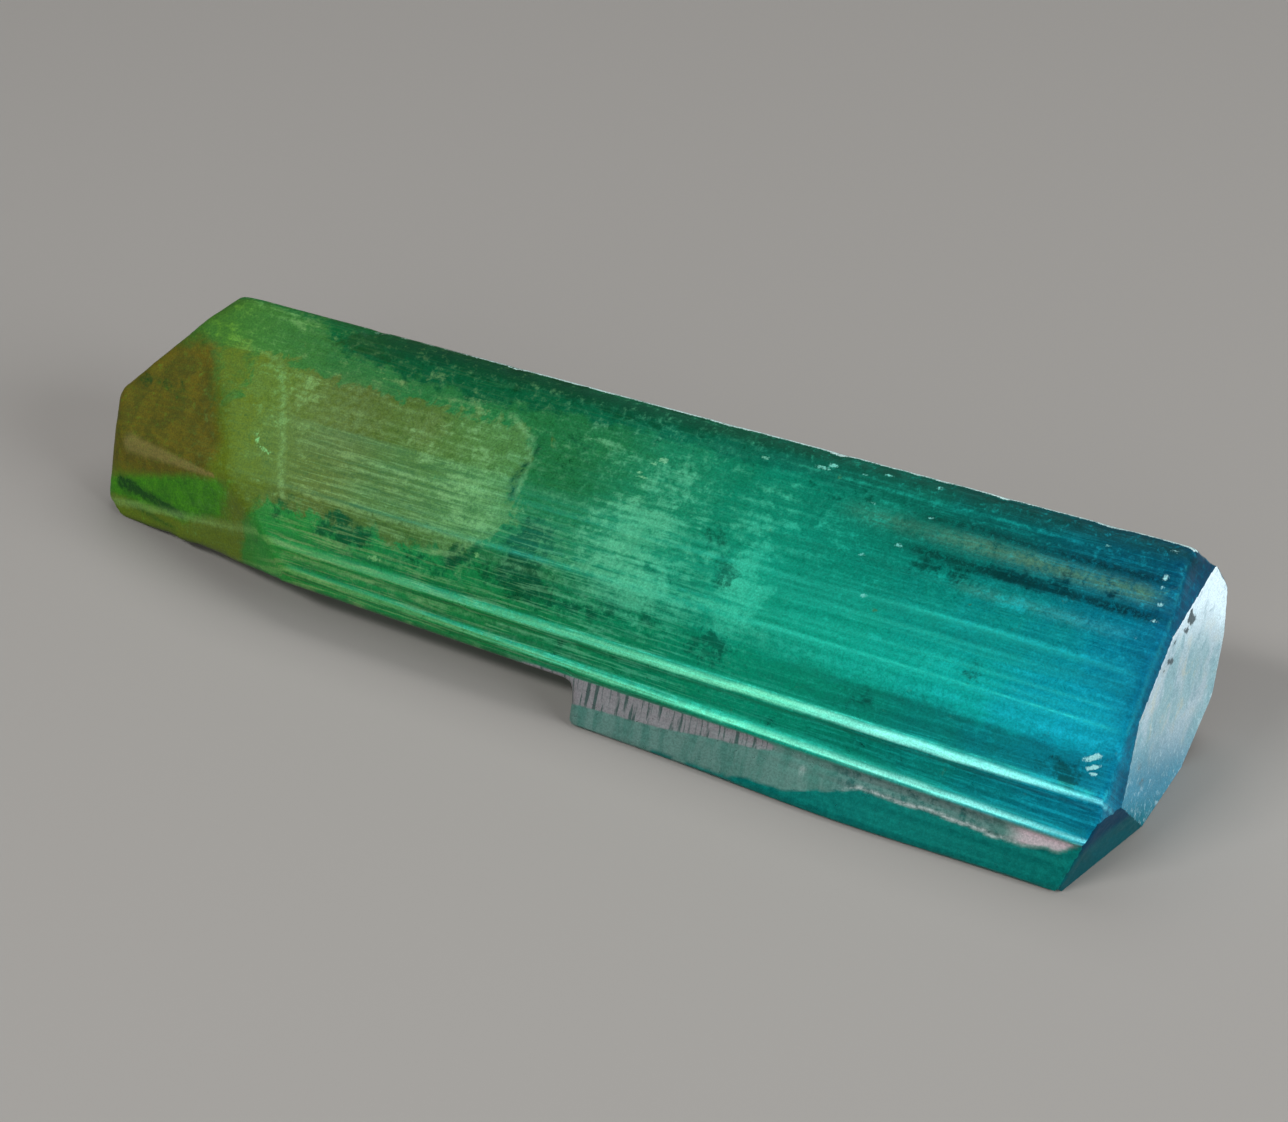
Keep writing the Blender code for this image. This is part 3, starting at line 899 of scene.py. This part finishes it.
class CrystalShader(Shader):
    """The crystal's material, with the noises that all of its parts share."""

    def __init__(self):
        super().__init__("tourmaline_detail")
        coordinates = self.add("TexCoord", {})["Object"]
        place = self.add("VectorMath", {0: coordinates, "Scale": 1 / MM}, operation="SCALE")[0]
        seated_x, seated_y, self.z = self.add("SeparateXYZ", {0: place})
        self.x = self.plus(seated_x, DRAWN_X)
        self.y = self.plus(seated_y, DRAWN_Y)
        self.streak = self.stretched(0.3, 3.6, 4.0, 0.6, 0.25)
        self.thread = self.stretched(0.42, 8.5, 3.0, 0.6, 0.3)
        self.curtain = self.stretched(2.6, 0.45, 4.0, 0.6, 0.2)
        self.comb = self.stretched(5.5, 0.45, 3.0, 0.55, 0.1)
        self.clump = self.noise(place, 1.15, 5.0, 0.68, 0.5)
        self.mottle = self.noise(place, 0.5, 3.0, 0.55, 0.4)
        self.fleck = self.noise(place, 3.4, 4.0, 0.7, 0.3)
        self.grain = self.noise(place, 13.0, 2.0, 0.7)
        self.uneven = self.spread(self.fleck, 0.38, 0.6, 0.25, 1.0)
        warped = self.plus(self.x, self.scaled(self.mottle, 4.0, -2.0))
        self.share = self.scaled(warped, 1 / LENGTH, -BROWN_X / LENGTH)
        self.pale = self.ramp(PALE_COLOURS)
        self.deep = self.ramp(DEEP_COLOURS)
        self.colour = self.ramp(BODY_COLOURS)

    def stretched(self, along, across, detail, roughness, distortion):
        """Noise with its own scale along the crystal and round it."""
        places = {0: self.times(self.x, along), 1: self.times(self.mask("around"), across)}
        vector = self.add("CombineXYZ", places)[0]
        return self.noise(vector, 1.0, detail, roughness, distortion, "2D")

    def ramp(self, stops):
        """The colour at each place along the crystal."""
        node = self.nodes.new("ShaderNodeValToRGB")
        while len(node.color_ramp.elements) < len(stops):
            node.color_ramp.elements.new(0.5)
        for element, (x, *colour) in zip(node.color_ramp.elements, stops):
            element.position = (x - BROWN_X) / LENGTH
            element.color = linear(*colour)
        self.feed(node.inputs[0], self.share)
        return node.outputs[0]

    def ragged(self, name, depth, soft):
        """A zone's mask, its border broken up by the clumps."""
        shifted = self.scaled(self.clump, depth, self.plus(self.mask(name), -depth / 2))
        return self.spread(shifted, 0.5 - soft, 0.5 + soft)

    def cover(self, share, colour):
        """Lays a colour over what is there already."""
        self.colour = self.mix(share, self.colour, colour)

    def summed(self, start, changes):
        """A value, and what each mask adds to it."""
        for name, change in changes.items():
            start = self.scaled(self.mask(name), change, start)
        return start


def lay_zones(s):
    """The broad zones of colour, painted shade higher up the front at the blue half, and a painted highlight
    along an edge at the brown tip.
    """
    top = s.ramp(TOP_COLOURS)
    # Painted shade, darker higher up the front towards the blue end.
    s.cover(s.times(s.mask("upper_front_shade"), s.spread(s.clump, 0.3, 0.6, 1.0, 0.75)), top)
    s.cover(s.ragged("top", 1.8, 0.2), top)
    s.cover(s.mask("back"), top)
    s.cover(s.ragged("low", 1.5, 0.3), s.ramp(LOW_COLOURS))
    s.cover(s.ragged("milk", 2.2, 0.12), s.ramp(MILK_COLOURS))
    ochre = s.times(s.mask("ochre"), s.spread(s.fleck, 0.36, 0.56, 0.35, 0.95), clamp=True)
    s.cover(ochre, s.between(s.share, 0.4, 0.6, (92, 112, 56), (86, 128, 98)))
    s.cover(s.ragged("sod", 1.6, 0.25), (88, 102, 8))
    s.cover(s.ragged("brown", 1.0, 0.4), s.between(s.clump, 0.38, 0.62, (80, 72, 0), (98, 84, 0)))
    s.cover(s.ragged("leaf", 1.0, 0.35), s.between(s.clump, 0.36, 0.64, (48, 104, 0), (64, 128, 0)))
    # Painted highlight along the edge between the brown and green faces of the tip.
    s.cover(s.ragged("tip_edge_highlight", 0.7, 0.35), (118, 106, 50))


def lay_mottling(s):
    """Pale and dark clumps, then the threads of the striations, lines and cracks."""
    broken = s.scaled(s.fleck, 1.3, s.scaled(s.clump, 2.2, -1.75))
    fibrous = s.scaled(s.streak, 1.3, s.plus(broken, -0.65))
    light = s.spread(s.plus(s.mask("light"), fibrous), 0.3, 1.0, 0.0, 0.78)
    light = s.times(light, s.spread(s.streak, 0.38, 0.58, 0.66, 1.0))
    s.cover(s.times(light, s.spread(s.curtain, 0.38, 0.56, 0.7, 1.0)), s.pale)
    murk = s.spread(s.math("SUBTRACT", s.mask("murk"), broken), 0.3, 0.85, 0.0, 0.85)
    s.cover(s.times(murk, s.spread(s.mask("murk"), 0.02, 0.2)), s.deep)
    s.cover(s.times(s.spread(s.thread, 0.5, 0.64, 0.0, 0.6), s.mask("threads")), s.pale)
    s.cover(s.times(s.spread(s.streak, 0.47, 0.34, 0.0, 0.34), s.mask("threads")), s.deep)
    s.cover(s.times(s.mask("bright"), s.uneven, clamp=True), s.pale)
    s.cover(s.times(s.mask("dark"), s.uneven, clamp=True), s.deep)
    # Painted shade along the front of the crown's edge.
    shaded = s.times(s.mask("crown_shade"), s.spread(s.clump, 0.34, 0.6, 1.0, 0.72))
    s.cover(shaded, s.mix(0.55, s.deep, (0, 18, 4)))
    s.cover(s.spread(s.fleck, 0.52, 0.75, 0.0, 0.3), s.pale)
    calm = s.spread(s.share, 0.55, 0.78, 1.0, 0.35)
    s.cover(s.times(s.spread(s.fleck, 0.47, 0.25, 0.0, 0.35), calm), s.deep)


def lay_flank(s):
    """The broken flank under the ribs."""
    dim = s.between(s.curtain, 0.36, 0.62, (88, 134, 124), (112, 148, 140))
    specks = s.between(s.fleck, 0.38, 0.58, (54, 88, 90), (116, 138, 136))
    s.cover(s.mask("flank"), s.mix(s.times(s.mask("speckled"), 0.85), dim, specks))
    s.cover(s.ragged("ribbed", 0.8, 0.2), s.between(s.comb, 0.36, 0.5, (84, 94, 94), (158, 150, 156)))
    s.cover(s.mask("strip"), s.between(s.fleck, 0.35, 0.65, (2, 104, 100), (6, 124, 116)))
    s.cover(s.mask("lens"), (226, 200, 208))
    s.cover(s.times(s.mask("seam"), s.uneven), (214, 224, 222))


def crumble(s, name, crumbled, low, high, most):
    """A mask eaten away by grain, and nowhere outside where it is painted."""
    eaten = s.spread(s.plus(s.mask(name), crumbled), low, high, 0.0, most)
    return s.times(eaten, s.spread(s.mask(name), 0.05, 0.25))


def lay_highlights(s, crumbled):
    """The painted highlights along the rib tops, the bright flecks, and the pale rims, a painted highlight
    along the worn edges.
    """
    # Painted highlight along the rib tops.
    rib_highlight = s.times(s.mask("rib_highlight"), s.spread(s.streak, 0.34, 0.6, 0.62, 0.95))
    s.cover(rib_highlight, s.ramp(RIB_HIGHLIGHT_COLOURS))
    glint = s.between(s.share, 0.4, 0.8, (116, 178, 108), (112, 200, 190))
    glint = s.between(s.share, 0.91, 0.97, glint, (180, 246, 248))
    s.cover(crumble(s, "fleck", crumbled, 0.25, 0.75, 0.9), glint)
    # The pale rims: painted highlight along the worn crown edge and the blue end's back rim.
    s.cover(crumble(s, "rim", crumbled, 0.35, 0.85, 0.88), (206, 238, 236))


FROST_LAYERS = (  # what each follows, where it starts, where it is full, its strength, its colour
    ("clump", 0.52, 0.66, 0.6, (184, 190, 176)), ("height", 5.6, 8.4, 1.0, (226, 246, 255)),
    ("height", 4.0, 1.2, 1.0, (74, 134, 158)), ("height", 1.3, -0.3, 1.0, (22, 98, 112)),
    ("clump", 0.46, 0.34, 0.5, (118, 156, 168)), ("fleck", 0.52, 0.7, 0.35, (214, 234, 240)),
)


def frost_colour(s, crumbled):
    """The blue end: pale above, blue-grey below and teal at its foot, with pits."""
    height = s.scaled(s.y, UP_FROM_Y, s.times(s.z, UP_FROM_Z))
    followed = {"clump": s.clump, "fleck": s.fleck, "height": height}
    frost = s.between(s.mottle, 0.4, 0.6, (144, 178, 186), (170, 190, 200))
    for name, start, full, most, colour in FROST_LAYERS:
        frost = s.mix(s.spread(followed[name], start, full, 0.0, most), frost, colour)
    return s.between(s.plus(s.mask("pit"), crumbled), 0.35, 0.6, frost, (88, 96, 102))


def lay_ends(s, crumbled):
    """The blue end, the painted shade in a band before it, and the chip low beside it."""
    # Painted shade in a band before the blue end.
    end_shade = s.between(s.clump, 0.4, 0.6, (0, 40, 74), (0, 58, 94))
    s.cover(s.times(s.mask("end_shade"), s.spread(s.fleck, 0.3, 0.6, 0.9, 0.7)), end_shade)
    s.cover(s.mask("chip"), s.between(s.z, 1.9, 1.2, (0, 42, 72), (0, 70, 80)))
    s.cover(s.mask("frost"), frost_colour(s, crumbled))


def set_gloss(s):
    """How rough the surface is, how much light passes into it, and what it takes away."""
    s.masks["dulled"] = s.math("MAXIMUM", s.mask("chip"), s.math("MAXIMUM", s.mask("end_shade"), s.mask("crown_shade")))
    rough = s.summed(s.spread(s.fleck, 0.3, 0.7, 0.27, 0.42), ROUGHER)
    rough = s.plus(rough, s.spread(s.share, 0.12, 0.45, 0.14, 0.0))
    s.surface("Roughness", s.plus(rough, s.spread(s.share, 0.06, 0.2, 0.2, 0.0)))
    clear = s.summed(CLEARNESS, CLEARER)
    clear = s.math("SUBTRACT", clear, s.spread(s.share, 0.08, 0.28, 0.24, 0.0), clamp=True)
    s.surface("Transmission Weight", clear)
    s.surface("IOR", TOURMALINE_IOR)
    s.surface("Specular IOR Level", SPECULAR_LEVEL)
    s.surface("Specular Tint", SPECULAR_TINT)
    absorbed = s.add("VolumeAbsorption", {"Color": ABSORBED_TINT, "Density": ABSORPTION})[0]
    s.feed(s.nodes["Material Output"].inputs["Volume"], absorbed)


def set_grain(s):
    """Fine grain in the colour, and a very low bump of the same grain."""
    grained = s.between(s.grain, 0.3, 0.7, (206, 206, 206), (250, 250, 250))
    s.surface("Base Color", s.mix(1.0, s.colour, grained, "MULTIPLY"))
    bump = {"Strength": GRAIN_STRENGTH, "Distance": GRAIN_HEIGHT * MM, "Height": s.grain}
    s.surface("Normal", s.add("Bump", bump)[0])


def crystal_material():
    s = CrystalShader()
    crumbled = s.scaled(s.grain, 1.3, s.scaled(s.fleck, 1.2, -1.25))
    lay_zones(s)
    lay_mottling(s)
    lay_flank(s)
    lay_highlights(s, crumbled)
    lay_ends(s, crumbled)
    set_grain(s)
    set_gloss(s)
    return s.material


# ---- the crystal ----

def add_object(name, data):
    """A new object in the scene."""
    made = bpy.data.objects.new(name, data)
    bpy.context.scene.collection.objects.link(made)
    return made


def finished_prism(ring):
    """The crystal as a bmesh, cut, refined and worn, and how far it lies from its seat."""
    bm = prism(ring)
    layer = bm.faces.layers.int.new("cap")
    for number, (_, point, outward, _, _) in enumerate(CUTS, start=1):
        cut(bm, layer, number, point, outward)
    divide_rims(bm, layer)
    for number, (_, _, outward, depth, _) in enumerate(CUTS, start=1):
        outward = Vector(outward).normalized()
        refine_cap(bm, layer, number, outward)
        roughen_cap(bm, layer, number, outward, depth)
    shift = seated_shift(bm)
    wear_edges(bm, layer)
    bmesh.ops.triangulate(bm, faces=[face for face in bm.faces if len(face.verts) > 4])
    bm.verts.ensure_lookup_table()
    lay_around(bm, layer, ring)
    return bm, layer, shift


def read_values(things, attribute, data_type, width=1):
    """One row of values for each vertex or face."""
    values = np.empty(len(things) * width, data_type)
    things.foreach_get(attribute, values)
    return values.reshape(-1, width) if width > 1 else values


def paint_masks(mesh, places, ring, rims):
    """Lays every mask that the material reads on the mesh."""
    around = read_values(mesh.attributes["around"].data, "value", np.float32)
    caps = read_values(mesh.attributes["cap"].data, "value", np.int32)
    spot = Spot(places, around.astype(float), ring)
    masks = {**body_masks(spot), **mark_masks(spot), **flank_masks(spot), "rib_highlight": rib_highlight_mask(spot)}
    masks = {name: values * spot.front for name, values in masks.items()}
    masks.update(end_masks(spot, *rims), threads=thread_mask(spot), back=1 - spot.front)
    for name, values in masks.items():
        paint(mesh, name, values)
    paint(mesh, "frost", caps == BLUE_END, "FACE")
    paint(mesh, "chip", caps == LOW_CHIP, "FACE")


def build_crystal():
    ring = Ring()
    bm, layer, shift = finished_prism(ring)
    rims = blue_rims(bm, layer)
    mesh = bpy.data.meshes.new("crystal_skin")
    bm.to_mesh(mesh)
    bm.free()
    places = read_values(mesh.vertices, "co", float, 3)
    paint_masks(mesh, places, ring, rims)

    low, high = (np.array(corner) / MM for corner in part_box("crystal"))
    seated = np.clip(places + shift, low, high) * MM
    mesh.vertices.foreach_set("co", seated.ravel())
    mesh.update()
    mesh.shade_smooth()
    mesh.set_sharp_from_angle(angle=math.radians(SHARP_ANGLE))
    mesh.materials.append(crystal_material())
    return add_object("crystal_skin", mesh), shift


# ---- the studio ----

CAMERA_PLACE = (48.735, -85.078, 70.165)  # in the drawn frame
CAMERA_LENS = 85.0
CAMERA_SENSOR = 36.0
CAMERA_NEAR = 0.001
CAMERA_AZIMUTH = 29.08
CAMERA_ELEVATION = 34.0
FLOOR_HALF = 1.5  # in metres, as the lights are
FLOOR_COLOUR = (132, 129, 125)
FLOOR_ROUGHNESS = 0.7
FLOOR_DROP = 0.00002  # so that the floor and the base don't share a plane
LIGHT_TARGET = (0.0, 0.0, 0.005)
WHITE = (1.0, 1.0, 1.0)
LIGHTS = (  # name, place, size, power, colour
    ("rib_strip", (-0.085, -0.182, 0.222), (0.13, 0.04), 0.6, WHITE),
    ("top_box", (0.02, 0.16, 0.32), (0.4, 0.22), 0.75, WHITE),
    ("end_box", (0.34, -0.04, 0.14), (0.22, 0.22), 1.6, (0.93, 0.97, 1.0)),
    ("front_box", (0.06, -0.4, 0.16), (0.4, 0.2), 0.66, WHITE),
)
WORLD_COLOUR = (0.92, 0.94, 1.0, 1.0)
WORLD_STRENGTH = 0.06


def build_camera(shift):
    data = bpy.data.cameras.new("camera")
    data.lens = CAMERA_LENS
    data.sensor_width = CAMERA_SENSOR
    data.sensor_fit = "HORIZONTAL"
    data.clip_start = CAMERA_NEAR
    camera = add_object("camera", data)
    camera.location = Vector(CAMERA_PLACE) * MM + Vector(shift) * MM
    camera.rotation_euler = (math.radians(90 - CAMERA_ELEVATION), 0.0, math.radians(CAMERA_AZIMUTH))
    bpy.context.scene.camera = camera


def build_floor():
    bm = bmesh.new()
    bmesh.ops.create_grid(bm, x_segments=8, y_segments=8, size=FLOOR_HALF)
    mesh = bpy.data.meshes.new("floor")
    bm.to_mesh(mesh)
    bm.free()
    s = Shader("pale_floor")
    s.surface("Base Color", FLOOR_COLOUR)
    s.surface("Roughness", FLOOR_ROUGHNESS)
    mesh.materials.append(s.material)
    floor = add_object("floor", mesh)
    floor.location.z = -FLOOR_DROP


def softbox(name, place, size, power, colour):
    """A rectangular light that faces the crystal."""
    data = bpy.data.lights.new(name, "AREA")
    data.shape = "RECTANGLE"
    data.size, data.size_y = size
    data.energy = power
    data.color = colour
    light = add_object(name, data)
    light.location = place
    away = (Vector(place) - Vector(LIGHT_TARGET)).normalized()
    light.rotation_euler = away.to_track_quat("Z", "Y").to_euler()


def build_world():
    world = bpy.data.worlds.new("world")
    world.use_nodes = True
    background = world.node_tree.nodes["Background"]
    background.inputs["Color"].default_value = WORLD_COLOUR
    background.inputs["Strength"].default_value = WORLD_STRENGTH
    bpy.context.scene.world = world
    bpy.context.scene.view_settings.view_transform = "Standard"


crystal, drawn_shift = build_crystal()
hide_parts("crystal")
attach(crystal, "root")
build_floor()
build_camera(drawn_shift)
for row in LIGHTS:
    softbox(*row)
build_world()
